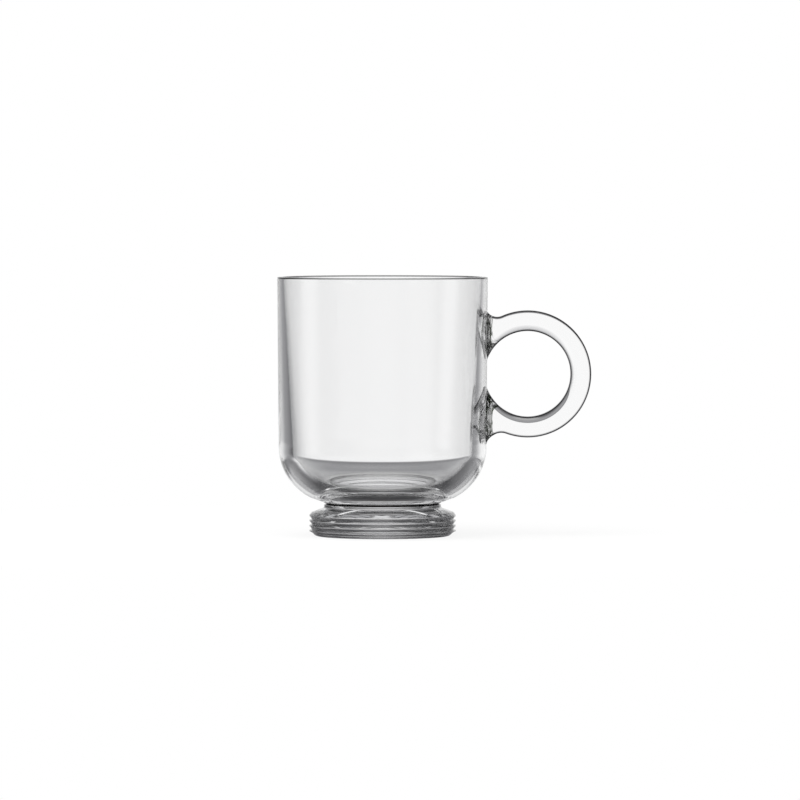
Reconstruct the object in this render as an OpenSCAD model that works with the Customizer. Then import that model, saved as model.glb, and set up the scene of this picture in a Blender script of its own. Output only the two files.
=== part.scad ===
// Clear glass cappuccino cup: a pressed bowl welded to a ribbed foot, with a ring handle on two weld pads.
// Millimetres. The bowl's axis is Z, the cup stands on z = 0 and the handle points along +X.

/* [Bowl] */
// Height of the cup from the table to the top of the rim
cup_h = 91; // [83:1:101]
// Outside diameter at the rim
rim_d = 74; // [68:0.5:80]
// Thickness of the wall at the rim
rim_wall = 2; // [1.6:0.1:2.6]
// Rounding of the rim's outer edge
lip_out = 0.3; // [0.2:0.05:0.6]
// Rounding of the rim's inner edge
lip_in = 0.75; // [0.5:0.05:0.9]
// Slope of the outside wall, which narrows downwards, in degrees
outer_draft = 0.45; // [0.2:0.05:0.9]
// Slope of the inside wall, which lets the plunger out of the mould, in degrees
inner_draft = 3.1; // [2.4:0.1:3.6]
// Radius of the outside round from the wall to the base
base_round = 20; // [18.5:0.5:22]
// Radius with which the inside leaves the wall
wall_round = 9; // [7:0.5:12]
// Angle through which the inside turns with that radius, in degrees
wall_turn = 22; // [16:1:30]
// Radius from there down to the flat floor inside
floor_round = 17.5; // [15:0.5:19.5]
// Thickness of the glass from the weld up to the floor inside
floor_t = 4.8; // [4:0.1:6]
// Height of the collar under the bowl, down to the weld
collar_h = 0.45; // [0.4:0.05:0.8]

/* [Foot] */
// Diameter over the tips of the ribs
foot_d = 51.5; // [48:0.5:56]
// Number of ribs round the foot
rib_count = 4; // [2:1:6]
// Height from one rib to the next
rib_pitch = 1.78; // [1.5:0.02:2]
// Depth of the grooves between the ribs
rib_depth = 0.85; // [0.4:0.05:1.2]
// Height of the narrow face at the tip of each rib
rib_tip = 0.4; // [0.2:0.05:0.5]
// Height of the short slope from a rib's tip up into the groove above it
rib_top = 0.3; // [0.2:0.02:0.6]
// Height of the lowest rib's tip above the table
low_rib_h = 1.65; // [1.4:0.05:2.2]
// Width of the bevel from the lowest rib in to the edge that the foot rests on
foot_bevel = 3; // [2.4:0.05:3.4]
// Radius of the round edge at the bottom of the foot
base_edge = 2.2; // [1.8:0.1:2.6]
// Width of the ring that the foot rests on
rest_w = 3.3; // [2:0.1:5]
// Depth of the hollow under the foot
recess_h = 1.2; // [0.6:0.1:2]
// Height of the bevel from the highest rib's tip up to the shoulder
shoulder_edge = 1; // [0.6:0.1:1.2]
// Slope of the shoulder from that bevel up to the neck, in degrees
shoulder_slope = 20; // [14:1:23]
// Diameter of the neck at the weld
neck_d = 41.2; // [39:0.2:43.4]
// Height of the straight neck, from the hollow above the shoulder to the weld
neck_h = 1; // [0.7:0.05:1.4]
// Radius of the hollow between shoulder and neck
neck_cove = 0.5; // [0.3:0.1:1]
// Depth of the groove that runs round along the weld
groove_d = 0.9; // [0.5:0.05:1.2]
// Height of that groove above and below the weld
groove_half = 0.3; // [0.2:0.05:0.35]

/* [Handle] */
// Diameter of the finger hole
hole_d = 30; // [26:0.5:34]
// Width of the band, seen from the side
band_w = 7.3; // [6.4:0.1:9]
// Thickness of the band across the cup
band_t = 8.4; // [7:0.1:10]
// Distance of the ring's centre below the middle of the bowl's straight wall
ring_drop = 4.15; // [2:0.05:6]
// Depth that the finger hole's circle reaches into the wall
hole_sink = 0.8; // [0.3:0.1:1.2]
// Rounding of the band's outer edges
outer_edge = 1.2; // [0.8:0.1:2]
// Rounding of the band's edges round the finger hole
hole_edge = 3; // [2:0.1:3.4]
// Thickness of the weld pads between wall and handle
pad_t = 1.9; // [1.6:0.05:2.2]
// Width that the pads add on each side of the band
pad_flare = 1.8; // [1:0.1:2.4]
// Radius of the hollow above the handle's upper end
upper_fillet = 4.2; // [3.6:0.1:4.8]
// Radius of the hollow below the handle's lower end
lower_fillet = 5; // [4.4:0.1:5.6]

/* [Hidden] */

// Facets of every round shape, and of the wall that the pads are cut to
$fn = 96;
wall_fn = 2 * $fn;

glass = [0.86, 0.9, 0.91, 0.45];

// The ribs stand on the bevel above the round bottom edge
// The cove touches the sloping shoulder above the ribs and the neck
tip_r = foot_d / 2;
groove_r = tip_r - rib_depth;
rest_r = tip_r - foot_bevel;
neck_r = neck_d / 2;
shoulder_z = low_rib_h + (rib_count - 1) * rib_pitch + rib_tip + shoulder_edge;
cove_x = neck_r + neck_cove;
cove_z = shoulder_z + (groove_r - cove_x) * tan(shoulder_slope) + neck_cove / cos(shoulder_slope);
cove_end = [cove_x - neck_cove * sin(shoulder_slope), cove_z - neck_cove * cos(shoulder_slope)];
weld_z = cove_z + neck_h;

// The round bottom edge is cut off flat a little above its lowest point, where the resting ring ends
edge_cut = 0.05;
ring_edge_r = rest_r + sqrt(edge_cut * (2 * base_edge - edge_cut));

// The hollow under the foot is part of a large sphere
hollow_r = ring_edge_r - rest_w;
recess_r = (pow(hollow_r, 2) + pow(recess_h, 2)) / (2 * recess_h);

// Upper height at which the leaning line x = line_x + lean * z is a given distance from a point
function height_on(line_x, lean, point, distance) =
    let (
        across = point.x - line_x,
        scale = 1 + pow(lean, 2),
        middle = point.y + lean * across,
        rest = pow(point.y, 2) + pow(across, 2) - pow(distance, 2)
    )
    (middle + sqrt(pow(middle, 2) - scale * rest)) / scale;

// Radii of the bowl's walls at a height
rim_r = rim_d / 2;
function outer_r(z) = rim_r - (cup_h - z) * tan(outer_draft);
function inner_r(z) = rim_r - rim_wall - (cup_h - z) * tan(inner_draft);

// The rim's two edges are circles that touch the walls and the top of the cup
out_z = cup_h - lip_out;
out_x = outer_r(out_z) - lip_out / cos(outer_draft);
in_z = cup_h - lip_in;
in_x = inner_r(in_z) + lip_in / cos(inner_draft);
lip_outside = [out_x + lip_out * cos(outer_draft), out_z - lip_out * sin(outer_draft)];
lip_inside = [in_x - lip_in * cos(inner_draft), in_z + lip_in * sin(inner_draft)];

// The outside round touches the outer wall and meets the collar at the neck's radius
collar_z = weld_z + collar_h;
outer_lean = tan(outer_draft);
outer_line_x = outer_r(0) - base_round / cos(outer_draft);
round_z = height_on(outer_line_x, outer_lean, [neck_r, collar_z], base_round);
round_x = outer_line_x + outer_lean * round_z;
wall_foot = [round_x + base_round * cos(outer_draft), round_z - base_round * sin(outer_draft)];

// The inside leaves the wall with a tight round, which touches a wide one that comes down to the floor
floor_z = weld_z + floor_t;
round_gap = floor_round - wall_round;
turn_z = floor_z + floor_round - round_gap * sin(wall_turn);
turn_x = inner_r(turn_z) - wall_round / cos(inner_draft);
cavity_foot = [turn_x + wall_round * cos(inner_draft), turn_z - wall_round * sin(inner_draft)];
turn_end = [turn_x + wall_round * cos(wall_turn), turn_z - wall_round * sin(wall_turn)];
corner_x = turn_x - round_gap * cos(wall_turn);
corner_z = floor_z + floor_round;

// The ring stands against the straight wall, and both pads end in one upright plane
ring_z = (wall_foot.y + cup_h) / 2 - ring_drop;
hole_r = hole_d / 2;
ring_r = hole_r + band_w;
half_t = band_t / 2;
wall_x = outer_r(ring_z);
ring_x = wall_x + hole_r - hole_sink;
pad_x = wall_x + pad_t;

// A fillet's circle bites into the wall and a little into the ring; its height counts from the ring's centre
// The upper fillet meets the wall at an angle; the lower one runs out along it, as glass sagged while hot
upper_bite = 0.7;
lower_bite = 0.06;
ring_bite = 0.05;
web_w = band_w - hole_edge - 3 * ring_bite;
function fillet_x(fillet, bite) = wall_x + fillet - bite;
function fillet_z(fillet, bite) =
    sqrt(pow(ring_r + fillet - ring_bite, 2) - pow(ring_x - fillet_x(fillet, bite), 2));
function fillet_angle(fillet, bite) = atan2(fillet_z(fillet, bite), fillet_x(fillet, bite) - ring_x);

// Depth of the pads at their flared sides, where the round wall stands back, and their reach into the wall
pad_depth = pad_x - sqrt(pow(wall_x, 2) - pow(half_t + pad_flare, 2));
pad_root = 4;
pad_hold = 0.04;
pad_levels = 6;
corner_steps = 6;

// Bowl with its inside filled, as a half profile
module bowl_outside() {
    intersection() {
        union() {
            polygon([
                [0, wall_foot.y],
                wall_foot,
                lip_outside,
                [out_x, out_z],
                [out_x, cup_h],
                [in_x, cup_h],
                [in_x, in_z],
                lip_inside,
                [0, lip_inside.y],
            ]);
            translate([round_x, round_z])
                circle(base_round);
            translate([0, collar_z])
                square([round_x, round_z - collar_z]);
            polygon([
                [0, weld_z],
                [neck_r - groove_d, weld_z],
                [neck_r, weld_z + groove_half],
                [neck_r, collar_z + groove_half],
                [0, collar_z + groove_half],
            ]);
        }
        translate([0, weld_z])
            square([rim_d, cup_h]);
    }
}

// Inside of the bowl, open at the top, as a half profile
module bowl_inside() {
    polygon([[0, cavity_foot.y], cavity_foot, lip_inside, [lip_inside.x, 2 * cup_h], [0, 2 * cup_h]]);
    translate([turn_x, turn_z])
        circle(wall_round);
    intersection() {
        union() {
            translate([corner_x, corner_z])
                circle(floor_round);
            translate([0, floor_z])
                square([corner_x, floor_round]);
        }
        polygon([[0, 0], [turn_end.x, 0], turn_end, [corner_x, corner_z], [0, corner_z]]);
    }
}

module bowl() {
    color(glass)
        rotate_extrude() {
            difference() {
                bowl_outside();
                bowl_inside();
            }
            translate([out_x, out_z])
                circle(lip_out);
            translate([in_x, in_z])
                circle(lip_in);
        }
}

// Outline of the ribs from the lowest tip up to the shoulder
function rib_points() = [
    for (i = [0 : rib_count - 1])
        let (z = low_rib_h + i * rib_pitch)
        each [
            [tip_r, z],
            [tip_r, z + rib_tip],
            [groove_r, z + rib_tip + (i < rib_count - 1 ? rib_top : shoulder_edge)],
        ]
];

module foot() {
    color(glass)
        rotate_extrude()
            difference() {
                union() {
                    polygon(concat(
                        [[0, -base_edge], [rest_r, -base_edge], [rest_r, 0]],
                        rib_points(),
                        [cove_end, [cove_x, cove_z], [neck_r, cove_z]],
                        [[neck_r, weld_z - groove_half], [neck_r - groove_d, weld_z], [0, weld_z]]
                    ));
                    translate([rest_r, base_edge - edge_cut])
                        circle(base_edge);
                }
                translate([cove_x, cove_z])
                    circle(neck_cove);
                translate([0, recess_h - recess_r])
                    circle(recess_r);
                translate([0, -2 * base_edge])
                    square([foot_d, 2 * base_edge]);
            }
}

// Turns a section round an axis that lies across the cup
module turn(x, z, from, sweep) {
    translate([x, 0, z])
        rotate([90, 0, 0])
        rotate([0, 0, from])
        rotate_extrude(angle = sweep)
        children();
}

// Side of the band with both edges rounded, centred on the middle of its roundings
module rounded_side(middle, edge) {
    for (side = [-1, 1])
        translate([middle, side * (half_t - edge)])
            circle(edge);
    translate([middle - edge, edge - half_t])
        square([2 * edge, band_t - 2 * edge]);
}

// Full thickness of the band between two radii
module band_middle(from, to) {
    translate([from, -half_t])
        square([to - from, band_t]);
}

// Web above the ring's centre that fills the corner between ring and wall, hollowed by the fillet
module fillet_web(fillet, bite) {
    turn(fillet_x(fillet, bite), fillet_z(fillet, bite), 180, fillet_angle(fillet, bite)) {
        rounded_side(fillet + outer_edge, outer_edge);
        band_middle(fillet + outer_edge, fillet + web_w);
    }
}

module handle() {
    color(glass)
        translate([0, 0, ring_z])
        difference() {
            union() {
                turn(ring_x, 0, 0, 360) {
                    rounded_side(hole_r + hole_edge, hole_edge);
                    band_middle(hole_r + hole_edge, ring_r - outer_edge);
                    rounded_side(ring_r - outer_edge, outer_edge);
                }
                fillet_web(upper_fillet, upper_bite);
                mirror([0, 0, 1])
                    fillet_web(lower_fillet, lower_bite);
            }
            translate([pad_x - 2 * ring_r, -ring_r, -2 * ring_r])
                cube([2 * ring_r, 2 * ring_r, 4 * ring_r]);
        }
}

// Half the width of a pad in the plane at x
function pad_half(x) =
    half_t + pad_flare * (1 - sqrt(1 - pow(min(1, (pad_x - x) / pad_depth), 2)));

// Distance of the plane at x from a round side's axis, held inside the wall where the side runs straight on
function held(x, axis_x, radius) = min(axis_x - x, radius - pad_hold);

// Heights of a pad's two sides in the plane at x, at a distance from the fillet's or the finger hole's axis
function fillet_side_z(fillet, bite, x, r) =
    fillet_z(fillet, bite) - sqrt(pow(r, 2) - pow(held(x, fillet_x(fillet, bite), fillet), 2));
function hole_side_z(x, r) = sqrt(pow(r, 2) - pow(held(x, ring_x, hole_r), 2));

// Points round a pad in the plane at x, from the fillet's side down to the finger hole's side and back
function pad_ring(fillet, bite, x) = [
    for (side = [1, -1], part = [0, 1], i = [0 : corner_steps])
        let (
            at_fillet = (side == 1) == (part == 0),
            angle = 90 * (part == 0 ? i : corner_steps - i) / corner_steps,
            edge = at_fillet ? outer_edge : hole_edge,
            r = (at_fillet ? fillet : hole_r) + edge * (1 - cos(angle)),
            y = side * (half_t - edge + edge * sin(angle)) * pad_half(x) / half_t
        )
        [x, y, at_fillet ? fillet_side_z(fillet, bite, x, r) : hole_side_z(x, r)]
];

// Planes of a pad from the handle's end into the wall, closer together where the flare is steep
pad_planes = concat(
    [for (i = [0 : pad_levels]) pad_x - pad_depth * sin(90 * i / pad_levels)],
    [pad_x - pad_depth - pad_root]
);

// Flared pad above the ring's centre, not yet cut to the wall
module pad_loft(fillet, bite) {
    count = 4 * (corner_steps + 1);
    last = len(pad_planes) - 1;
    sides = [
        for (k = [0 : last - 1], i = [0 : count - 1])
            let (next = (i + 1) % count, a = k * count, b = (k + 1) * count)
            each [[a + i, b + i, b + next], [a + i, b + next, a + next]]
    ];
    front = [for (i = [0 : count - 1]) i];
    back = [for (i = [count - 1 : -1 : 0]) last * count + i];
    polyhedron([for (x = pad_planes) each pad_ring(fillet, bite, x)], concat([front, back], sides));
}

module upper_handle_pad() {
    color(glass)
        difference() {
            translate([0, 0, ring_z])
                pad_loft(upper_fillet, upper_bite);
            rotate_extrude($fn = wall_fn)
                bowl_outside();
        }
}

module lower_handle_pad() {
    color(glass)
        difference() {
            translate([0, 0, ring_z])
                mirror([0, 0, 1])
                pad_loft(lower_fillet, lower_bite);
            rotate_extrude($fn = wall_fn)
                bowl_outside();
        }
}

bowl();
foot();
handle();
upper_handle_pad();
lower_handle_pad();
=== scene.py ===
"""Clear glass cappuccino cup with a ribbed foot and a ring handle, dressed on its packed CAD frame.

Every length is in metres, in the frame of the CAD model: the bowl's axis is Z, the cup stands on z = 0
and the handle points along +X.
"""

import math

import bmesh
import bpy
from bpy.props import FloatProperty, FloatVectorProperty, IntProperty, PointerProperty
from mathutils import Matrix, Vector


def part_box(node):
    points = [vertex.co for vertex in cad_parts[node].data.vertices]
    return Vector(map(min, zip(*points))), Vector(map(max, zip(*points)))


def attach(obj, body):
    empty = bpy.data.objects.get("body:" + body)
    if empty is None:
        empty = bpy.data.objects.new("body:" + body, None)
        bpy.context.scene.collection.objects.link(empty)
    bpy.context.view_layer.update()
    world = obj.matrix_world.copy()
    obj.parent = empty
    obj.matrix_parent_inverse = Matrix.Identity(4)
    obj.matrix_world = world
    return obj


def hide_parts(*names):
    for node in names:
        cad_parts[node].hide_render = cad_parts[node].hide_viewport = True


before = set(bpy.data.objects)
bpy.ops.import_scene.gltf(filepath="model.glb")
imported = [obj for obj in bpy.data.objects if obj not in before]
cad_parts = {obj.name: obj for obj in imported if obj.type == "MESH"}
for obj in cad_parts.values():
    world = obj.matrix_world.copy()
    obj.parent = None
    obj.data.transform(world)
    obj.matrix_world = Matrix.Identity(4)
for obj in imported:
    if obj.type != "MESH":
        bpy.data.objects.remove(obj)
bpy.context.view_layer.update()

bl_info = {
    "name": "Glass Cappuccino Cup",
    "version": (1, 0, 0),
    "blender": (4, 5, 0),
    "location": "View3D > Sidebar > Cup",
    "description": "Builds a clear glass cup with a ribbed foot and a ring handle on its CAD frame",
    "category": "Object",
}

MM = 0.001
BODY = "root"

BOWL_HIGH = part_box("bowl")[1]
FOOT_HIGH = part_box("foot")[1]
HANDLE_LOW, HANDLE_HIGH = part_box("handle")
RING_RADIUS = (HANDLE_HIGH.z - HANDLE_LOW.z) / 2

# Material slots of the glass pieces: bare glass, joint inside the glass, seam round the weld painted
# near-black as shade, and glass with painted shade, under the foot's ribs and along the handle's outer edges
GLASS, FUSED, SEAM, SHADED = 0, 1, 2, 3

# Fineness of the turned meshes, and the angle from which an edge stays sharp
AROUND = 288
ARC_STEP = math.radians(2.5)
ARC_LEAST = 4
WALL_STEP = 0.9 * MM
SHARP_EDGE = math.radians(35)

# Distances below which a point is on the axis, and two points are one
ON_AXIS = 1e-9
SAME_PLACE = 1e-7

# Points of the bowl's outside round that give way to the collar's hollow
COVE_POINTS = 6

# Share of the weld groove's and the seam's height in which a face belongs to the joint
JOINT_SHARE = 0.999

# Least room between a melted-on patch and the window opened for it, as a height and in columns
ROW_MARGIN = 0.3 * WALL_STEP
COLUMN_MARGIN = 0.4

# Fineness of the handle and the pads
FLAT_COLUMNS = 8
EDGE_STEPS = 9
SIDE_STEPS = 5
PAD_STEPS = 14
FAN_STEPS = 14
RING_STEP = math.radians(2)


def size(label, description, default):
    """Length that a user may change, in metres."""
    return FloatProperty(
        name=label, description=description, default=default, min=0, unit="LENGTH", precision=5
    )


def angle(label, description, degrees):
    """Angle that a user may change, given in degrees."""
    return FloatProperty(name=label, description=description, default=math.radians(degrees), subtype="ANGLE")


def share(label, description, default, most=1.0):
    """Plain number from zero up to a limit."""
    return FloatProperty(name=label, description=description, default=default, min=0, max=most)


def colour(label, description, default):
    """Colour that a user may change."""
    return FloatVectorProperty(
        name=label, description=description, default=default, size=3, subtype="COLOR", min=0, max=1
    )


def place(label, description, default):
    """Point that a user may change, in metres."""
    return FloatVectorProperty(
        name=label, description=description, default=default, size=3, subtype="TRANSLATION", unit="LENGTH"
    )


class BowlSizes(bpy.types.PropertyGroup):
    """Sizes of the bowl."""

    height: size("Height", "Top of the rim above the table", BOWL_HIGH.z)
    rim_diameter: size("Rim diameter", "Outside diameter at the rim", 73.97 * MM)
    rim_wall: size("Rim wall", "Thickness of the wall at the rim", 2 * MM)
    outer_draft: angle("Outer draft", "Slope of the outside wall", 0.45)
    inner_draft: angle("Inner draft", "Slope of the inside wall", 3.1)
    base_round: size("Base round", "Radius of the outside round from wall to base", 20 * MM)
    lip_out: size("Outer lip", "Rounding of the rim's outer edge", 0.3 * MM)
    lip_in: size("Inner lip", "Rounding of the rim's inner edge", 0.75 * MM)
    wall_round: size("Wall round", "Radius with which the inside leaves the wall", 9 * MM)
    wall_turn: angle("Wall turn", "Angle through which the inside turns with that radius", 22)
    floor_round: size("Floor round", "Radius from there down to the flat floor inside", 17.5 * MM)
    floor: size("Floor thickness", "Glass from the weld up to the floor inside", 4.8 * MM)
    collar: size("Collar", "Height of the collar between weld and base", 0.45 * MM)
    collar_cove: size("Collar cove", "Radius of the hollow between collar and base", 0.15 * MM)


class FootSizes(bpy.types.PropertyGroup):
    """Sizes of the foot."""

    weld: size("Weld height", "Height of the weld above the table", FOOT_HIGH.z)
    diameter: size("Foot diameter", "Diameter over the tips of the ribs", 2 * FOOT_HIGH.x)
    ribs: IntProperty(name="Ribs", description="Number of ribs round the foot", default=4, min=2, max=6)
    rib_pitch: size("Rib pitch", "Height from one rib to the next", 1.78 * MM)
    rib_depth: size("Rib depth", "Depth of the grooves between the ribs", 0.85 * MM)
    rib_tip: size("Rib tip", "Height of the narrow face at the tip of each rib", 0.4 * MM)
    rib_top: size("Rib top", "Height of the short slope above each tip", 0.3 * MM)
    low_rib: size("Lowest rib", "Height of the lowest tip above the table", 1.65 * MM)
    bevel: size("Bevel", "Width of the bevel under the lowest rib", 3 * MM)
    base_edge: size("Base edge", "Radius of the round edge at the bottom", 2.2 * MM)
    edge_cut: size("Edge cut", "Height that is cut off flat from the round edge", 0.05 * MM)
    rest_width: size("Resting ring", "Width of the ring that the foot rests on", 3.3 * MM)
    recess: size("Recess", "Depth of the hollow under the foot", 1.2 * MM)
    shoulder_edge: size("Shoulder edge", "Height of the bevel from highest rib to shoulder", 1 * MM)
    shoulder_slope: angle("Shoulder slope", "Slope of the shoulder above the ribs", 20)
    neck_diameter: size("Neck diameter", "Diameter of the neck at the weld", 41.2 * MM)
    neck_cove: size("Neck cove", "Radius of the hollow between shoulder and neck", 0.5 * MM)
    groove_depth: size("Weld groove depth", "Depth of the groove along the weld", 0.9 * MM)
    groove_half: size("Weld groove half", "Height of the groove above and below the weld", 0.3 * MM)
    # The seam is painted near-black, as shade in the weld groove
    seam_top: size("Seam top", "Height of the dark seam above the weld", 0.45 * MM)
    edge_round: size("Edge round", "Fire-polished radius of the ribs and edges", 0.05 * MM)


class HandleSizes(bpy.types.PropertyGroup):
    """Sizes of the handle and of its weld pads."""

    ring_radius: size("Ring radius", "Outside radius of the ring", RING_RADIUS)
    ring_height: size("Ring height", "Height of the ring's centre", HANDLE_LOW.z + RING_RADIUS)
    ring_reach: size("Ring reach", "Ring centre's distance from the axis", HANDLE_HIGH.x - RING_RADIUS)
    hole_diameter: size("Finger hole", "Diameter of the finger hole", 30 * MM)
    thickness: size("Thickness", "Thickness of the band across the cup", HANDLE_HIGH.y - HANDLE_LOW.y)
    pad_plane: size("Pad plane", "Distance from the axis at which the handle ends", HANDLE_LOW.x)
    outer_edge: size("Outer edge", "Rounding of the band's outer edges", 1.2 * MM)
    hole_edge: size("Hole edge", "Rounding of the edges round the finger hole", 3 * MM)
    pad_flare: size("Pad flare", "Width that the pads add on each side", 1.8 * MM)
    upper_fillet: size("Upper fillet", "Radius of the hollow above the upper pad", 4.2 * MM)
    lower_fillet: size("Lower fillet", "Radius of the hollow below the lower pad", 5 * MM)
    upper_bite: size("Upper bite", "Depth that the upper fillet's circle reaches into the wall", 0.7 * MM)
    lower_bite: size("Lower bite", "Depth that the lower fillet's circle reaches into the wall", 0.06 * MM)


class GlassFinish(bpy.types.PropertyGroup):
    """Colours and surface detail of the glass."""

    clear_tint: colour("Clear tint", "Colour of the clear glass", (0.998, 0.998, 0.999))
    cord_tint: colour("Cord tint", "Colour of the faint cords in the glass", (0.99, 0.992, 0.993))
    # Painted shade: the weld pads' glass is nearly black, with a faint green
    weld_shade_tint: colour("Weld tint", "Colour of the glass in the weld pads", (0.007, 0.01, 0.005))
    # Painted shade that the glass takes where it is seen edge on
    painted_edge_shade: colour("Edge tint", "Colour of the glass seen edge on", (0.012, 0.012, 0.013))
    # Painted shade on the undersides of the ribs
    flank_shade_tint: colour("Flank tint", "Colour of the undersides of the ribs", (0.6, 0.6, 0.61))
    # Painted shade: the seam round the weld is near-black
    seam_shade_tint: colour("Seam tint", "Colour of the dark seam round the weld", (0.0003, 0.0003, 0.0003))
    refraction: share("Refraction", "Refractive index of the glass", 1.52, 2.0)
    ripple: size("Ripple", "Depth of the ripples that the mould leaves", 0.004 * MM)
    ripple_length: size("Ripple length", "Length of the ripples", 9 * MM)
    haze: share("Haze", "Greatest roughness of the polished skin", 0.02)


class StageSettings(bpy.types.PropertyGroup):
    """Floor, studio, lamp and camera."""

    floor_radius: size("Floor radius", "Radius of the pale round floor", 0.22)
    floor_gap: size("Floor gap", "Gap between the floor and the foot", 0.05 * MM)
    floor_colour: colour("Floor colour", "Colour of the floor", (0.8, 0.8, 0.8))
    floor_shadow: share("Floor shadow", "How much of the object's shadow the floor keeps", 0.1)
    room_level: colour("Room level", "Soft light of the room on the floor", (0.6, 0.6, 0.6))
    lamp_size: size("Lamp size", "Diameter of the soft lamp", 0.9)
    lamp_power: share("Lamp power", "Power of the soft lamp in watts", 14, 100)
    lamp_place: place("Lamp place", "Where the soft lamp hangs", (-0.25, -0.35, 1.1))
    lamp_aim: size("Lamp aim", "Height on the axis that the lamp points at", 40 * MM)
    camera_distance: size("Camera distance", "Distance of the camera from the cup", 2.3)
    camera_height: size("Camera height", "Height of the camera", 0.126)
    aim_x: size("Aim across", "Point across the cup that the camera looks at", 6.13 * MM)
    aim_z: size("Aim height", "Height that the camera looks at", 47.7 * MM)
    view_width: size("View width", "Width of the view at the cup", 0.281)


# Profiles


def spread(count, start=0.0, end=1.0):
    """Even steps from start to end, with both ends."""
    return [start + (end - start) * i / count for i in range(count + 1)]


def arc(centre, radius, start, end):
    """Points along a circle in a half profile, with both ends."""
    count = max(ARC_LEAST, math.ceil(abs(end - start) / ARC_STEP))
    turn = (end - start) / count
    return [
        (centre[0] + radius * math.cos(start + turn * i), centre[1] + radius * math.sin(start + turn * i))
        for i in range(count + 1)
    ]


def straight(start, end):
    """Points along a line in a half profile, with both ends."""
    count = max(1, math.ceil(math.dist(start, end) / WALL_STEP))
    return [tuple(a + (b - a) * i / count for a, b in zip(start, end)) for i in range(count + 1)]


def polished(points, radius, steps=4, side_share=0.45):
    """Line through points with each inner corner rounded, as fire polishing leaves it.

    A round takes up no more than a share of the sides beside it.
    """
    line = [points[0]]
    for before, corner, after in zip(points, points[1:], points[2:]):
        corner = Vector(corner)
        back, ahead = Vector(before) - corner, Vector(after) - corner
        half = back.angle(ahead) / 2
        reach = min(radius / math.tan(half), side_share * back.length, side_share * ahead.length)
        start, end = corner + back.normalized() * reach, corner + ahead.normalized() * reach
        for t in spread(steps):
            line.append(tuple(start * (1 - t) ** 2 + corner * 2 * t * (1 - t) + end * t ** 2))
    return line + [points[-1]]


def joined(*runs):
    """Runs of points as one line, without the points that two runs share."""
    line = []
    for run in runs:
        line += [p for p in run if not line or math.dist(p, line[-1]) > SAME_PLACE]
    return line


def wall_radius(bowl, height):
    """Outside radius of the bowl's straight wall at a height."""
    return bowl.rim_diameter / 2 - (bowl.height - height) * math.tan(bowl.outer_draft)


def height_on(line_x, lean, point, reach):
    """Upper height at which the leaning line x = line_x + lean * height has a reach from a point."""
    across = point[0] - line_x
    scale = 1 + lean ** 2
    middle = point[1] + lean * across
    rest = point[1] ** 2 + across ** 2 - reach ** 2
    return (middle + math.sqrt(middle ** 2 - scale * rest)) / scale


def bowl_profile(bowl, foot):
    """Half profile of the bowl from the weld's centre round the outside and the rim to the floor's centre.

    Returns the points, and the numbers of those on the straight outside wall.
    """
    rim, neck, weld = bowl.rim_diameter / 2, foot.neck_diameter / 2, foot.weld
    outer, inner = bowl.outer_draft, bowl.inner_draft

    # The rim's two edges touch the walls and the top of the cup
    out_z, in_z = bowl.height - bowl.lip_out, bowl.height - bowl.lip_in
    out_x = wall_radius(bowl, out_z) - bowl.lip_out / math.cos(outer)
    in_x = rim - bowl.rim_wall - bowl.lip_in * math.tan(inner) + bowl.lip_in / math.cos(inner)
    outer_lip = arc((out_x, out_z), bowl.lip_out, -outer, math.pi / 2)
    inner_lip = arc((in_x, in_z), bowl.lip_in, math.pi / 2, math.pi - inner)

    # The outside round touches the wall and meets the collar at the neck's radius
    collar_z, lean = weld + bowl.collar, math.tan(outer)
    line_x = rim - bowl.height * lean - bowl.base_round / math.cos(outer)
    round_z = height_on(line_x, lean, (neck, collar_z), bowl.base_round)
    round_x = line_x + lean * round_z
    round_start = math.atan2(collar_z - round_z, neck - round_x)
    outside = arc((round_x, round_z), bowl.base_round, round_start, -outer)

    # The inside leaves the wall with a tight round and comes down to the flat floor with a wide one
    floor_z, gap = weld + bowl.floor, bowl.floor_round - bowl.wall_round
    turn_z = floor_z + bowl.floor_round - gap * math.sin(bowl.wall_turn)
    turn_wall = rim - bowl.rim_wall - (bowl.height - turn_z) * math.tan(inner)
    turn_x = turn_wall - bowl.wall_round / math.cos(inner)
    corner = turn_x - gap * math.cos(bowl.wall_turn), floor_z + bowl.floor_round
    tight = arc((turn_x, turn_z), bowl.wall_round, -inner, -bowl.wall_turn)
    wide = arc(corner, bowl.floor_round, -bowl.wall_turn, -math.pi / 2)

    weld_edge = neck - foot.groove_depth, weld
    collar = [weld_edge, (neck, weld + foot.groove_half), (neck, collar_z), outside[COVE_POINTS]]
    base = joined([(0, weld)], polished(collar, bowl.collar_cove), outside[COVE_POINTS:])
    wall = straight(outside[-1], outer_lip[0])
    points = joined(
        base,
        wall,
        outer_lip,
        inner_lip,
        straight(inner_lip[-1], tight[0]),
        tight,
        wide,
        straight(wide[-1], (0, floor_z)),
    )
    wall_start = len(base) - 1
    return points, range(wall_start, wall_start + len(wall))


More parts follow.
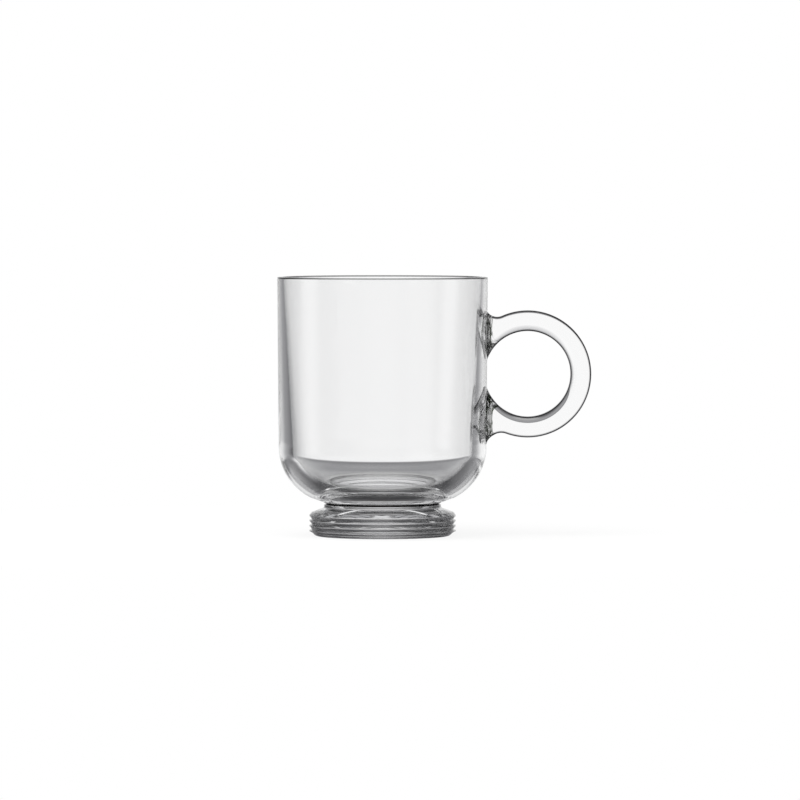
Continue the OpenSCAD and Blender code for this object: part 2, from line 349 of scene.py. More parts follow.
def foot_profile(foot):
    """Half profile of the foot from the hollow's centre underneath round the ribs to the weld's centre."""
    tip, neck = foot.diameter / 2, foot.neck_diameter / 2
    root, edge_x = tip - foot.rib_depth, tip - foot.bevel
    edge_z = foot.base_edge - foot.edge_cut
    edge_start = -math.asin(edge_z / foot.base_edge)
    hollow = edge_x + foot.base_edge * math.cos(edge_start) - foot.rest_width
    slope, cove = foot.shoulder_slope, foot.neck_cove

    dome = (hollow ** 2 + foot.recess ** 2) / (2 * foot.recess)
    dome_edge = math.asin(hollow / dome)
    underside = arc((0, foot.recess - dome), dome, math.pi / 2, math.pi / 2 - dome_edge)

    ribs = []
    for i in range(foot.ribs):
        z = foot.low_rib + i * foot.rib_pitch
        top = foot.rib_top if i < foot.ribs - 1 else foot.shoulder_edge
        ribs += [(tip, z), (tip, z + foot.rib_tip), (root, z + foot.rib_tip + top)]

    shoulder_z = ribs[-1][1]
    cove_x = neck + cove
    cove_z = shoulder_z + (root - cove_x) * math.tan(slope) + cove / math.cos(slope)
    hollow_neck = arc((cove_x, cove_z), cove, -math.pi / 2 - slope, -math.pi)

    # The round edge at the bottom starts on the table and ends on the bevel
    slant = math.hypot(foot.bevel, foot.low_rib)
    lift = foot.low_rib * edge_z / slant
    along = (lift + math.sqrt(lift ** 2 + foot.base_edge ** 2 - edge_z ** 2)) / slant
    edge_end = math.atan2(foot.low_rib * along - edge_z, foot.bevel * along)
    edge = arc((edge_x, edge_z), foot.base_edge, edge_start, edge_end)
    weld_edge = neck - foot.groove_depth, foot.weld
    weld_groove = [hollow_neck[-1], (neck, foot.weld - foot.groove_half), weld_edge]
    return joined(
        underside[:-2],
        polished([underside[-2], (hollow, 0), edge[0]], foot.edge_round),
        edge,
        polished([edge[-1], *ribs, hollow_neck[0]], foot.edge_round),
        hollow_neck,
        polished(weld_groove, foot.edge_round),
        [(0, foot.weld)],
    )


def joint_surface(foot, start, end):
    """Surface between two points of a profile: fused in the weld, a painted-shade seam in its groove, or
    bare glass.
    """
    low, high = sorted((start[1], end[1]))
    if low < foot.weld - JOINT_SHARE * foot.groove_half or high > foot.weld + JOINT_SHARE * foot.seam_top:
        return GLASS
    return FUSED if min(start[0], end[0]) < ON_AXIS else SEAM


def rib_surface(foot, start, end):
    """Surface between two points of the foot's profile: painted shade where it leans out, under the ribs."""
    leans_out = end[0] > start[0] and end[1] > start[1]
    return SHADED if leans_out else joint_surface(foot, start, end)


# Closed pieces of glass


def new_object(name, data):
    """New object of some data, in the scene."""
    made = bpy.data.objects.new(name, data)
    bpy.context.scene.collection.objects.link(made)
    return made


class Shell:
    """Points and faces of one closed piece, and the material slot of each face."""

    def __init__(self):
        self.points = []
        self.faces = []
        self.surfaces = []

    def add(self, point):
        """Adds a point and returns its number."""
        self.points.append(point)
        return len(self.points) - 1

    def face(self, corners, surface=GLASS):
        """Adds a face, leaving out a corner that comes twice."""
        corners = list(dict.fromkeys(corners))
        if len(corners) > 2:
            self.faces.append(corners)
            self.surfaces.append(surface)

    def band(self, ring, other, surfaces, opened=()):
        """Joins two closed rings, with a surface for each face, and leaves out the opened faces.

        The rings have as many points as each other, or one of them is a single pole.
        """
        for i in range(max(len(ring), len(other))):
            if i in opened:
                continue
            a, b = i % len(ring), (i + 1) % len(ring)
            c, d = (i + 1) % len(other), i % len(other)
            self.face([ring[a], ring[b], other[c], other[d]], surfaces[i])

    def sheet(self, rows, surface):
        """Fills rows of as many points."""
        for row, other in zip(rows, rows[1:]):
            for i in range(len(row) - 1):
                self.face([row[i], row[i + 1], other[i + 1], other[i]], surface)

    def stitch(self, ring, other, middle):
        """Joins two closed rings of different counts that both run round a middle, by their bearings.

        Rings are lists of (number, (across, up)).
        """
        def bearings(points):
            """Bearing and number of each point in order, with the first again after a full turn."""
            turned = sorted((math.atan2(p[1] - middle[1], p[0] - middle[0]), n) for n, p in points)
            return turned + [(turned[0][0] + 2 * math.pi, turned[0][1])]

        near, far = bearings(ring), bearings(other)
        near_end, far_end = len(near) - 1, len(far) - 1
        i = j = 0
        while i < near_end or j < far_end:
            here, there = near[i][1], far[j][1]
            if j == far_end or (i < near_end and near[i + 1][0] < far[j + 1][0]):
                i += 1
                self.face([here, near[i][1], there])
            else:
                j += 1
                self.face([here, far[j][1], there])

    def piece(self, name, node, materials):
        """Makes the object, which stands for a CAD node."""
        mesh = bpy.data.meshes.new(name)
        mesh.from_pydata(self.points, [], self.faces)
        mesh.polygons.foreach_set("material_index", self.surfaces)
        for material in materials:
            mesh.materials.append(material)
        build = bmesh.new()
        build.from_mesh(mesh)
        bmesh.ops.recalc_face_normals(build, faces=build.faces)
        if any(not edge.is_manifold for edge in build.edges):
            raise RuntimeError(f"{name} isn't closed")
        build.to_mesh(mesh)
        build.free()
        mesh.shade_smooth()
        mesh.set_sharp_from_angle(angle=SHARP_EDGE)
        obj = new_object(name, mesh)
        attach(obj, BODY)
        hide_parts(node)


def turned_rings(shell, profile):
    """Rings of points of a half profile turned round the axis; a point on the axis is a ring of one."""
    rings = []
    for radius, height in profile:
        turns = [2 * math.pi * j / AROUND for j in range(AROUND if radius > ON_AXIS else 1)]
        rings.append([shell.add((radius * math.cos(a), radius * math.sin(a), height)) for a in turns])
    return rings


# Handle and pads, as grids of points across the band


def outline(grid):
    """Points round the edge of a grid, in order."""
    right = [row[-1] for row in grid[1:-1]]
    left = [row[0] for row in grid[-2:0:-1]]
    return list(grid[0]) + right + list(reversed(grid[-1])) + left


class Band:
    """Section of the handle's band and the way it runs from the wall round the ring and back."""

    def __init__(self, bowl, handle):
        self.bowl = bowl
        self.handle = handle
        self.half = handle.thickness / 2
        self.hole = handle.hole_diameter / 2
        self.ring = (handle.ring_reach, handle.ring_height)
        self.wall = wall_radius(bowl, handle.ring_height)
        self.rows = self.section_rows()

    def section_rows(self):
        """Rows of the section from the outer face to the finger hole.

        A row has its share of the way to the hole, its depth below the outer face, its depth below the
        hole's face, and its half width.
        """
        outer, inner = self.handle.outer_edge, self.handle.hole_edge
        quarter = spread(EDGE_STEPS, 0, math.pi / 2)
        rows = [(0, outer * (1 - math.cos(a)), 0, self.half - outer + outer * math.sin(a)) for a in quarter]
        rows += [(i / SIDE_STEPS, outer, inner, self.half) for i in range(1, SIDE_STEPS)]
        rows += [
            (1, 0, inner * (1 - math.cos(a)), self.half - inner + inner * math.sin(a))
            for a in reversed(quarter)
        ]
        return rows

    def surfaces(self):
        """Surface of each face round the section: painted shade on the rounds along the outer edges."""
        order = outline([[row] * (FLAT_COLUMNS + 1) for row in range(len(self.rows))])
        pairs = zip(order, order[1:] + order[:1])
        return [SHADED if a != b and max(a, b) <= EDGE_STEPS else GLASS for a, b in pairs]

    def fillet(self, upper):
        """Radius of an end's fillet, and how far its centre is from the axis and from the ring's height."""
        handle = self.handle
        radius = handle.upper_fillet if upper else handle.lower_fillet
        x = self.wall + radius - (handle.upper_bite if upper else handle.lower_bite)
        z = math.sqrt((handle.ring_radius + radius) ** 2 - (self.ring[0] - x) ** 2)
        return radius, x, z

    def section(self, outer_at, inner_at, flare=1.0):
        """Grid of one section, from the places at a depth below the outer face and below the hole's face."""
        grid = []
        for towards, outer, inner, width in self.rows:
            x, z = (p + (q - p) * towards for p, q in zip(outer_at(outer), inner_at(inner)))
            grid.append([(x, width * flare * side, z) for side in spread(FLAT_COLUMNS, -1, 1)])
        return grid

    def ring_section(self, turn):
        """Section of the ring at an angle."""
        def at(radius):
            return (self.ring[0] + radius * math.cos(turn), self.ring[1] + radius * math.sin(turn))

        return self.section(lambda d: at(self.handle.ring_radius - d), lambda d: at(self.hole + d))

    def fan_section(self, upper, part):
        """Section between the pad's plane (part 0) and the place where fillet and ring touch (part 1)."""
        up = 1 if upper else -1
        radius, x, z = self.fillet(upper)
        plane = self.handle.pad_plane

        def outer_at(depth):
            start = -math.acos((plane - x) / (radius + depth))
            end = math.atan2(-z, self.ring[0] - x)
            turn = start + (end - start) * part
            return (
                x + (radius + depth) * math.cos(turn),
                self.ring[1] + up * (z + (radius + depth) * math.sin(turn)),
            )

        def inner_at(depth):
            start = math.acos((plane - self.ring[0]) / (self.hole + depth))
            end = math.atan2(z, x - self.ring[0])
            turn = start + (end - start) * part
            return (
                self.ring[0] + (self.hole + depth) * math.cos(turn),
                self.ring[1] + up * (self.hole + depth) * math.sin(turn),
            )

        return self.section(outer_at, inner_at)

    def pad_section(self, upper, part):
        """Section of a pad from the wall (part 0) to the pad's plane (part 1), flared towards the wall."""
        up = 1 if upper else -1
        radius, x, z = self.fillet(upper)
        plane = self.handle.pad_plane
        nominal = self.wall + (plane - self.wall) * part
        flare = 1 + self.handle.pad_flare / self.half * (1 - math.sqrt(1 - (1 - part) ** 2))

        def outer_at(depth):
            reach = math.sqrt((radius + depth) ** 2 - (x - nominal) ** 2)
            return (nominal, self.ring[1] + up * (z - reach))

        def inner_at(depth):
            reach = math.sqrt((self.hole + depth) ** 2 - (self.ring[0] - nominal) ** 2)
            return (nominal, self.ring[1] + up * reach)

        grid = self.section(outer_at, inner_at, flare)
        if part == 0:
            return [[self.on_wall(side, height) for _, side, height in row] for row in grid]
        feet = self.pad_section(upper, 0)
        return [
            [(foot[0] + (plane - foot[0]) * part, *point[1:]) for foot, point in zip(feet_row, row)]
            for feet_row, row in zip(feet, grid)
        ]

    def on_wall(self, side, height):
        """Point of the bowl's outside wall at a height, off to one side."""
        return (math.sqrt(wall_radius(self.bowl, height) ** 2 - side ** 2), side, height)


def loft(grids, surfaces):
    """Closed shell through the outlines of grids, whose two ends are fused joints."""
    shell = Shell()
    ends = []
    for grid in (grids[0], grids[-1]):
        ends.append([[shell.add(p) for p in row] for row in grid])
        shell.sheet(ends[-1], FUSED)
    rings = [outline(ends[0])]
    for grid in grids[1:-1]:
        rings.append([shell.add(p) for p in outline(grid)])
    rings.append(outline(ends[1]))
    for ring, other in zip(rings, rings[1:]):
        shell.band(ring, other, surfaces)
    return shell


# Shader nodes

FLOAT, COLOUR, VECTOR = "NodeSocketFloat", "NodeSocketColor", "NodeSocketVector"


def node_group(name, inputs, outputs):
    """Empty shader node group with named sockets; returns it, the values it is given and its result node."""
    group = bpy.data.node_groups.new(name, "ShaderNodeTree")
    for in_out, sockets in (("INPUT", inputs), ("OUTPUT", outputs)):
        for socket, kind in sockets.items():
            group.interface.new_socket(name=socket, in_out=in_out, socket_type=kind)
    return group, group.nodes.new("NodeGroupInput").outputs, group.nodes.new("NodeGroupOutput")


def fill(tree, made, inputs):
    """Fills inputs of a node, each with a fixed value or with another node's output."""
    for name, value in inputs.items():
        if isinstance(value, bpy.types.NodeSocket):
            tree.links.new(value, made.inputs[name])
        else:
            made.inputs[name].default_value = value
    return made


def node(tree, kind, inputs=None, **settings):
    """New node with its settings and its filled inputs."""
    made = tree.nodes.new(kind)
    for key, value in settings.items():
        setattr(made, key, value)
    return fill(tree, made, inputs or {})


def grouped(tree, name, maker, inputs):
    """Places the node group of that name, which is made the first time."""
    group = bpy.data.node_groups.get(name) or maker()
    return node(tree, "ShaderNodeGroup", inputs, node_tree=group)


def maths(tree, operation, *values):
    """Result of an operation on numbers or outputs."""
    return node(tree, "ShaderNodeMath", dict(enumerate(values)), operation=operation).outputs[0]


def either_side(tree, middle, reach):
    """The two values that lie a reach below and above a middle one."""
    return [maths(tree, step, middle, reach) for step in ("SUBTRACT", "ADD")]


def graded(tree, value, start, full, least=0.0, most=1.0, kind="SMOOTHSTEP"):
    """Value that goes from least to most while another one goes from start to full."""
    inputs = {"Value": value, "From Min": start, "From Max": full, "To Min": least, "To Max": most}
    return node(tree, "ShaderNodeMapRange", inputs, interpolation_type=kind).outputs["Result"]


def noise(tree, where, inputs):
    """Noise over the places in an output."""
    return node(tree, "ShaderNodeTexNoise", {"Vector": where, **inputs}).outputs["Fac"]


def blend(tree, mask, first, second):
    """Mix of two colours by a mask."""
    inputs = {"Factor": mask, "A": first, "B": second}
    return node(tree, "ShaderNodeMix", inputs, data_type="RGBA").outputs["Result"]


def mix_shader(tree, factor, first, second):
    """Mix of two shaders."""
    return node(tree, "ShaderNodeMixShader", {0: factor, 1: first, 2: second}).outputs["Shader"]


def opaque(tint):
    """Colour with full alpha."""
    return (*tint, 1.0)


# Glass

# How far a surface is turned away where its painted edge shade starts, and where it is full
BOWL_EDGE_SHADE = (0.85, 1.0)
FOOT_EDGE_SHADE = (0.75, 1.0)
HANDLE_EDGE_SHADE = (0.28, 0.56)
HANDLE_ROUND_SHADE = (0.0, 0.25)

# Size of the cords in the glass, and how softly they blend into it
CLEAR_CORDS = (14.3 * MM, 0.5)
# In the weld pads the cords break the painted shade into pale specks
WELD_CORDS = (0.9 * MM, 0.06)

# Scale of the cords along each axis, which draws them out along the cup's own
CORD_DRAW = (1.0, 1.0, 0.25)

# Noise level at which haze starts, and at which it is full
HAZE_NOISE = (0.55, 0.75)

# Depth of the weld pads' ripples against those of the pressed glass
WELD_RIPPLE = 2.0


def ripple_group():
    """Soft waves that the mould and the plunger leave in pressed glass, as a height in metres."""
    group, given, result = node_group("mould_ripple", {"Length": FLOAT, "Depth": FLOAT}, {"Height": FLOAT})
    where = node(group, "ShaderNodeTexCoord").outputs["Object"]
    scale = maths(group, "DIVIDE", 1.0, given["Length"])
    waves = noise(group, where, {"Scale": scale, "Detail": 2.0, "Roughness": 0.4})
    fill(group, result, {"Height": maths(group, "MULTIPLY", waves, given["Depth"])})
    return group


def skin_group():
    """Polished skin of the glass: faint cords of another tint, and a trace of haze."""
    group, given, result = node_group(
        "glass_skin",
        {"Tint": COLOUR, "Cord Tint": COLOUR, "Cord Size": FLOAT, "Cord Blur": FLOAT, "Haze": FLOAT},
        {"Color": COLOUR, "Roughness": FLOAT},
    )
    where = node(group, "ShaderNodeTexCoord").outputs["Object"]
    drawn = node(group, "ShaderNodeMapping", {"Vector": where, "Scale": CORD_DRAW}).outputs["Vector"]
    scale = maths(group, "DIVIDE", 1.0, given["Cord Size"])
    cords = noise(group, drawn, {"Scale": scale, "Detail": 3.0, "Distortion": 0.6})
    parted = graded(group, cords, *either_side(group, 0.5, given["Cord Blur"]), kind="LINEAR")
    smears = noise(group, where, {"Scale": 45.0, "Detail": 5.0})
    haze = graded(group, smears, *HAZE_NOISE, most=given["Haze"])
    tint = blend(group, parted, given["Tint"], given["Cord Tint"])
    fill(group, result, {"Color": tint, "Roughness": haze})
    return group


def glass_material(name, finish, tint, cord_tint, edge=BOWL_EDGE_SHADE, cords=CLEAR_CORDS, ripple_share=1.0):
    """Pressed glass with cords, haze and mould ripple, with painted shade where it is seen edge on."""
    found = bpy.data.materials.get(name)
    if found:
        return found
    material = bpy.data.materials.new(name)
    material.use_nodes = True
    tree = material.node_tree
    skin = grouped(tree, "glass_skin", skin_group, {
        "Tint": opaque(tint),
        "Cord Tint": opaque(cord_tint),
        "Cord Size": cords[0],
        "Cord Blur": cords[1],
        "Haze": finish.haze,
    })
    ripple = grouped(tree, "mould_ripple", ripple_group, {
        "Length": finish.ripple_length,
        "Depth": finish.ripple * ripple_share,
    })
    bump = node(tree, "ShaderNodeBump", {"Distance": 1.0, "Height": ripple.outputs["Height"]})
    # Painted shade: the colour turns to the edge tint as the surface turns away
    turned_away = node(tree, "ShaderNodeLayerWeight").outputs["Facing"]
    dark = graded(tree, turned_away, *edge)
    fill(tree, tree.nodes["Principled BSDF"], {
        "Base Color": blend(tree, dark, skin.outputs["Color"], opaque(finish.painted_edge_shade)),
        "Roughness": skin.outputs["Roughness"],
        "Normal": bump.outputs["Normal"],
        "IOR": finish.refraction,
        "Transmission Weight": 1.0,
    })
    return material


def fused_material():
    """Joint inside the glass, where two pieces are melted together and no surface is left."""
    found = bpy.data.materials.get("fused_joint")
    if found:
        return found
    material = bpy.data.materials.new("fused_joint")
    material.use_nodes = True
    material.node_tree.nodes["Principled BSDF"].inputs["Alpha"].default_value = 0.0
    return material


def clear_glass(name, finish, edge):
    """Materials of a clear piece: glass with painted shade at its edges, fused joint, and seam painted
    near-black as shade.
    """
    return [
        glass_material(name, finish, finish.clear_tint, finish.cord_tint, edge),
        fused_material(),
        glass_material("weld_seam_shade_glass", finish, finish.seam_shade_tint, finish.seam_shade_tint),
    ]


def rib_flank_shade_glass(finish):
    """Glass with painted shade under the foot's ribs."""
    return glass_material("rib_flank_shade_glass", finish, finish.flank_shade_tint, finish.flank_shade_tint, FOOT_EDGE_SHADE)


def ring_edge_shade_glass(finish):
    """Glass of the rounds along the handle's outer edges, with painted shade that starts when they turn away
    a little.
    """
    return glass_material("ring_edge_shade_glass", finish, finish.clear_tint, finish.cord_tint, HANDLE_ROUND_SHADE)


def weld_shade_glass(finish):
    """Materials of a weld pad: glass painted nearly black as shade, speckled by pale cords, and fused joint.
    """
    tints = finish.weld_shade_tint, finish.cord_tint
    return [
        glass_material("weld_pad_shade_glass", finish, *tints, cords=WELD_CORDS, ripple_share=WELD_RIPPLE),
        fused_material(),
    ]


# Operators of the pieces


class CUP_OT_bowl(bpy.types.Operator):
    """Builds the bowl, with the places where the pads are melted on"""

    bl_idname = "cup.bowl"
    bl_label = "Bowl"

    def execute(self, context):
        scene = context.scene
        bowl, foot = scene.cup_bowl, scene.cup_foot
        profile, wall_rows = bowl_profile(bowl, foot)
        shell = Shell()
        rings = turned_rings(shell, profile)
        band = Band(bowl, scene.cup_handle)
        opened = {}
        for upper in (True, False):
            opened |= self.melt_on(shell, rings, wall_rows, band.pad_section(upper, 0))
        for k, (ring, other) in enumerate(zip(rings, rings[1:])):
            surface = joint_surface(foot, *profile[k:k + 2])
            shell.band(ring, other, [surface] * AROUND, opened.get(k, ()))
        shell.piece("bowl_glass", "bowl", clear_glass("pressed_glass", scene.cup_finish, BOWL_EDGE_SHADE))
        return {"FINISHED"}

    @staticmethod
    def melt_on(shell, rings, wall_rows, patch):
        """Adds a pad's patch to the outside wall and stitches it into a window of the wall.

        Returns the columns that the window opens in each of its rows.
        """
        numbers = [[shell.add(p) for p in row] for row in patch]
        shell.sheet(numbers, FUSED)
        heights = [p[2] for row in patch for p in row]
        lowest, highest = min(heights), max(heights)
        widest = max(math.atan2(p[1], p[0]) for row in patch for p in row)
        columns = math.ceil(widest / (2 * math.pi / AROUND) + COLUMN_MARGIN)

        def row_height(k):
            return shell.points[rings[k][0]][2]

        def unrolled(number):
            x, y, z = shell.points[number]
            return (number, (math.hypot(x, y) * math.atan2(y, x), z))

        first = max(k for k in wall_rows if row_height(k) < lowest - ROW_MARGIN)
        last = min(k for k in wall_rows if row_height(k) > highest + ROW_MARGIN)
        window = [rings[first][j] for j in range(-columns, columns + 1)]
        window += [rings[k][columns] for k in range(first + 1, last)]
        window += [rings[last][j] for j in range(columns, -columns - 1, -1)]
        window += [rings[k][-columns] for k in range(last - 1, first, -1)]
        edge = [unrolled(n) for n in outline(numbers)]
        shell.stitch(edge, [unrolled(n) for n in window], (0, (lowest + highest) / 2))
        return {k: {j % AROUND for j in range(-columns, columns)} for k in range(first, last)}


class CUP_OT_foot(bpy.types.Operator):
    """Builds the ribbed foot"""

    bl_idname = "cup.foot"
    bl_label = "Foot"

    def execute(self, context):
        scene = context.scene
        foot, finish = scene.cup_foot, scene.cup_finish
        shell = Shell()
        profile = foot_profile(foot)
        rings = turned_rings(shell, profile)
        for k, (ring, other) in enumerate(zip(rings, rings[1:])):
            shell.band(ring, other, [rib_surface(foot, *profile[k:k + 2])] * AROUND)
        materials = clear_glass("ribbed_glass", finish, FOOT_EDGE_SHADE) + [rib_flank_shade_glass(finish)]
        shell.piece("foot_glass", "foot", materials)
        return {"FINISHED"}


class CUP_OT_handle(bpy.types.Operator):
    """Builds the ring handle"""

    bl_idname = "cup.handle"
    bl_label = "Handle"

    def execute(self, context):
        scene = context.scene
        finish = scene.cup_finish
        band = Band(scene.cup_bowl, scene.cup_handle)
        ends = []
        for upper in (True, False):
            _, x, z = band.fillet(upper)
            ends.append(math.atan2(z, x - band.ring[0]) * (1 if upper else -1))
        turns = math.ceil((ends[0] - ends[1]) / RING_STEP)
        grids = [band.fan_section(True, part) for part in spread(FAN_STEPS)]
        grids += [band.ring_section(turn) for turn in spread(turns, *ends)[1:-1]]
        grids += [band.fan_section(False, part) for part in reversed(spread(FAN_STEPS))]
        materials = clear_glass("ring_glass", finish, HANDLE_EDGE_SHADE) + [ring_edge_shade_glass(finish)]
        loft(grids, band.surfaces()).piece("handle_glass", "handle", materials)
        return {"FINISHED"}


class CUP_OT_pads(bpy.types.Operator):
    """Builds the two weld pads between handle and bowl"""

    bl_idname = "cup.pads"
    bl_label = "Weld pads"

    def execute(self, context):
        scene = context.scene
        band = Band(scene.cup_bowl, scene.cup_handle)
        parts = [1 - math.sin(math.pi / 2 * (1 - t)) for t in spread(PAD_STEPS)]
        for upper, name in ((True, "upper_handle_pad"), (False, "lower_handle_pad")):
            grids = [band.pad_section(upper, part) for part in parts]
            surfaces = [GLASS] * len(outline(grids[0]))
            loft(grids, surfaces).piece(name + "_glass", name, weld_shade_glass(scene.cup_finish))
        return {"FINISHED"}


# Stage

# Levels of the studio that glass sees, by elevation in degrees: a table that is bright straight under the
# cup, and a ceiling with a soft light high up and a dark middle. Behind the cup the table ends in a sharp
# edge below the white backdrop, beside the backdrop it fades into grey, and the rest of the room is dark
# above the table.
BACKDROP_LEVELS = (
    (-90, 0.9), (-75, 0.9), (-64, 0.05), (-46, 0.05), (-38, 0.07), (-30, 0.12), (-24, 0.2), (-20, 0.32),
    (-15.2, 0.34), (-14, 0.24), (-12.2, 0.24), (-11.2, 1.0), (8, 1.0), (13, 0.88), (19, 0.76), (29, 0.55),
    (37, 0.14), (50, 0.08), (60, 0.4), (72, 0.6), (79, 0.25), (83, 0.02), (90, 0.02),
)
SIDE_LEVELS = (
    (-90, 0.5), (-75, 0.45), (-62, 0.06), (-38, 0.08), (-28, 0.11), (-20, 0.16), (-15, 0.23), (-11, 0.33),
    (0, 0.35), (12, 0.34), (25, 0.15), (37, 0.06), (52, 0.05), (60, 0.08), (72, 0.2), (80, 0.15), (90, 0.08),
)
ROOM_LEVELS = (
    (-90, 0.9), (-75, 0.9), (-64, 0.06), (-44, 0.1), (-37, 0.65), (-16, 0.65), (-11, 0.2), (-6, 0.05),
    (0, 0.03), (50, 0.03), (60, 0.08), (72, 0.15), (79, 0.15), (83, 0.02), (90, 0.02),
)

# Hue of the darkest levels
DARK_HUE = (0.985, 0.985, 1.03)

# Soft panels: azimuth from +Y towards +X, elevation, half width, half height and softness in degrees,
# and the level of those that have one
PANEL_SIZES = ("Azimuth", "Elevation", "Half Width", "Half Height", "Softness")
BACKDROP_PANEL = (5, 0, 25, 180, 11)
SIDE_PANEL = (5, 0, 47, 180, 12)
PANELS = {
    "table_glow": (0, -29, 9, 7, 4, 0.42),
    "left_backdrop": (-90, 0, 12, 12, 8, 1.0),
    "left_table": (-49, -25, 8, 8, 5, 0.9),
    "right_table": (135, -15, 16, 10, 8, 1.0),
    "front_light": (180, 8, 34, 18, 20, 0.45),
}

WHITE = (1.0, 1.0, 1.0)
FLOOR_SIDES = 128

# Bounces that light takes to come through several walls of glass
BOUNCES = 32


def panel_group():
    """Soft-edged light panel on the studio's sphere, as a mask of a direction."""
    inputs = {"Direction": VECTOR, **dict.fromkeys(PANEL_SIZES, FLOAT)}
    group, given, result = node_group("studio_panel", inputs, {"Mask": FLOAT})
    turning = {"Vector": given["Direction"], "Angle": given["Azimuth"]}
    turned = node(group, "ShaderNodeVectorRotate", turning, rotation_type="Z_AXIS").outputs["Vector"]
    parts = node(group, "ShaderNodeSeparateXYZ", {"Vector": turned}).outputs
    rise = maths(group, "ARCSINE", parts["Z"])
    offsets = {
        "Half Width": maths(group, "ARCTAN2", parts["X"], parts["Y"]),
        "Half Height": maths(group, "SUBTRACT", rise, given["Elevation"]),
    }
    masks = []
    for half, offset in offsets.items():
        edge = either_side(group, given[half], given["Softness"])
        masks.append(graded(group, maths(group, "ABSOLUTE", offset), *edge, least=1.0, most=0.0))
    fill(group, result, {"Mask": maths(group, "MULTIPLY", *masks)})
    return group


def level_ramp(tree, rise, levels):
    """Colour ramp of levels over the rise, which is 0 straight down and 1 straight up."""
    made = node(tree, "ShaderNodeValToRGB", {"Fac": rise})
    stops = made.color_ramp.elements
    while len(stops) < len(levels):
        stops.new(0.5)
    for stop, (degrees, level) in zip(stops, levels):
        stop.position = 0.5 + degrees / 180
        stop.color = opaque(level + (level * hue - level) * (1 - level) for hue in DARK_HUE)
    return made.outputs["Color"]


def panel_mask(tree, direction, panel):
    """Mask of one soft panel."""
    inputs = {name: math.radians(degrees) for name, degrees in zip(PANEL_SIZES, panel)}
    return grouped(tree, "studio_panel", panel_group, {"Direction": direction, **inputs}).outputs["Mask"]


def background(tree, shade):
    """Background shader of a colour or an output."""
    return node(tree, "ShaderNodeBackground", {"Color": shade}).outputs["Background"]


def seen_by_glass(tree, path):
    """Mask of the rays that glass mirrors or lets through."""
    return maths(tree, "MAXIMUM", path["Is Glossy Ray"], path["Is Transmission Ray"])


def studio_world(stage):
    """World that is white to the camera, and to glass a studio with a backdrop, dark sides and panels."""
    world = bpy.data.worlds.new("studio")
    world.use_nodes = True
    tree = world.node_tree
    tree.nodes.clear()
    direction = node(tree, "ShaderNodeTexCoord").outputs["Generated"]
    height = node(tree, "ShaderNodeSeparateXYZ", {"Vector": direction}).outputs["Z"]
    rise = maths(tree, "ADD", maths(tree, "DIVIDE", maths(tree, "ARCSINE", height), math.pi), 0.5)
    studio = level_ramp(tree, rise, ROOM_LEVELS)
    for panel, levels in ((SIDE_PANEL, SIDE_LEVELS), (BACKDROP_PANEL, BACKDROP_LEVELS)):
        studio = blend(tree, panel_mask(tree, direction, panel), studio, level_ramp(tree, rise, levels))
    for *panel, level in PANELS.values():
        studio = blend(tree, panel_mask(tree, direction, panel), studio, (level, level, level, 1.0))
    path = node(tree, "ShaderNodeLightPath").outputs
    room = background(tree, opaque(stage.room_level))
    lit = mix_shader(tree, seen_by_glass(tree, path), room, background(tree, studio))
    shown = mix_shader(tree, path["Is Camera Ray"], lit, background(tree, opaque(WHITE)))
    node(tree, "ShaderNodeOutputWorld", {"Surface": shown})
    bpy.context.scene.world = world


def floor_material(stage):
    """Pale floor that is nearly white to the camera, and keeps a share of the cup's shadow."""
    material = bpy.data.materials.new("pale_floor")
    material.use_nodes = True
    tree = material.node_tree
    matt = fill(tree, tree.nodes["Principled BSDF"], {
        "Base Color": opaque(stage.floor_colour),
        "Roughness": 1.0,
        "Specular IOR Level": 0.0,
    })
    path = node(tree, "ShaderNodeLightPath").outputs
    plain = maths(tree, "MAXIMUM", seen_by_glass(tree, path), path["Is Camera Ray"])
    white = maths(tree, "MULTIPLY", plain, 1 - stage.floor_shadow)
    glow = node(tree, "ShaderNodeEmission").outputs["Emission"]
    shown = mix_shader(tree, white, matt.outputs["BSDF"], glow)
    fill(tree, tree.nodes["Material Output"], {"Surface": shown})
    return material


def pale_floor(stage):
    """Round pale floor under the cup, which isn't mirrored in the glass."""
    build = bmesh.new()
    radius = stage.floor_radius
    bmesh.ops.create_circle(build, cap_ends=True, cap_tris=True, segments=FLOOR_SIDES, radius=radius)
    bmesh.ops.translate(build, verts=build.verts, vec=(0, 0, -stage.floor_gap))
    mesh = bpy.data.meshes.new("floor")
    build.to_mesh(mesh)
    build.free()
    mesh.materials.append(floor_material(stage))
    floor = new_object("floor", mesh)
    floor.visible_transmission = False
    floor.visible_glossy = False


def point_at(obj, target):
    """Turns a lamp or camera to a point, and returns how far away that is."""
    away = Vector(target) - obj.location
    obj.rotation_euler = away.to_track_quat("-Z", "Y").to_euler()
    return away.length


def soft_lamp(stage):
    """Large soft lamp over the cup, which lights the floor and isn't mirrored in the glass."""
    light = bpy.data.lights.new("softbox", "AREA")
    light.shape = "DISK"
    light.size = stage.lamp_size
    light.energy = stage.lamp_power
    lamp = new_object("softbox", light)
    lamp.location = stage.lamp_place
    point_at(lamp, (0, 0, stage.lamp_aim))
    lamp.visible_glossy = False
    lamp.visible_transmission = False


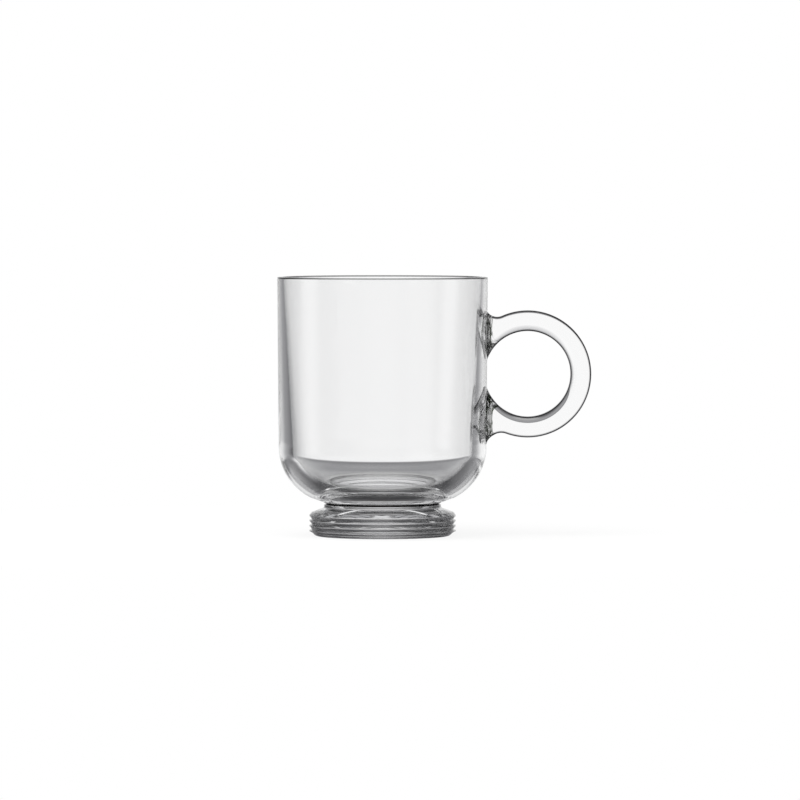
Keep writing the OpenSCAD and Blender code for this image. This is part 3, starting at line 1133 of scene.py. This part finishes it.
def photo_camera(stage):
    """Camera at the photograph's viewing angle, aimed without shift."""
    data = bpy.data.cameras.new("camera")
    camera = new_object("camera", data)
    camera.location = (stage.aim_x, -stage.camera_distance, stage.camera_height)
    distance = point_at(camera, (stage.aim_x, 0, stage.aim_z))
    data.lens = data.sensor_width * distance / stage.view_width
    data.clip_end = 10 * stage.camera_distance
    bpy.context.scene.camera = camera


class CUP_OT_stage(bpy.types.Operator):
    """Builds the floor, the studio, the lamp and the camera"""

    bl_idname = "cup.stage"
    bl_label = "Stage"

    def execute(self, context):
        scene = context.scene
        for part in (pale_floor, studio_world, soft_lamp, photo_camera):
            part(scene.cup_stage)
        scene.view_settings.view_transform = "Standard"
        for limit in ("max_bounces", "transmission_bounces", "glossy_bounces", "transparent_max_bounces"):
            setattr(scene.cycles, limit, BOUNCES)
        return {"FINISHED"}


# Add-on

OPERATORS = (CUP_OT_bowl, CUP_OT_foot, CUP_OT_handle, CUP_OT_pads, CUP_OT_stage)
GROUPS = {
    "cup_bowl": BowlSizes,
    "cup_foot": FootSizes,
    "cup_handle": HandleSizes,
    "cup_finish": GlassFinish,
    "cup_stage": StageSettings,
}


class CUP_PT_sidebar(bpy.types.Panel):
    """Sizes, finish and steps of the cup"""

    bl_idname = "CUP_PT_sidebar"
    bl_label = "Glass cup"
    bl_space_type = "VIEW_3D"
    bl_region_type = "UI"
    bl_category = "Cup"

    def draw(self, context):
        for key, group in GROUPS.items():
            box = self.layout.box()
            box.label(text=group.__doc__)
            for name in group.__annotations__:
                box.prop(getattr(context.scene, key), name)
        for operator in OPERATORS:
            self.layout.operator(operator.bl_idname)


def register():
    """Registers the groups of sizes, the operators and the panel."""
    for key, group in GROUPS.items():
        bpy.utils.register_class(group)
        setattr(bpy.types.Scene, key, PointerProperty(type=group))
    for operator in OPERATORS:
        bpy.utils.register_class(operator)
    bpy.utils.register_class(CUP_PT_sidebar)


def unregister():
    """Takes away what register added."""
    bpy.utils.unregister_class(CUP_PT_sidebar)
    for operator in reversed(OPERATORS):
        bpy.utils.unregister_class(operator)
    for key, group in GROUPS.items():
        delattr(bpy.types.Scene, key)
        bpy.utils.unregister_class(group)


def main():
    register()
    bpy.ops.cup.bowl()
    bpy.ops.cup.foot()
    bpy.ops.cup.handle()
    bpy.ops.cup.pads()
    bpy.ops.cup.stage()


if __name__ == "__main__":
    main()
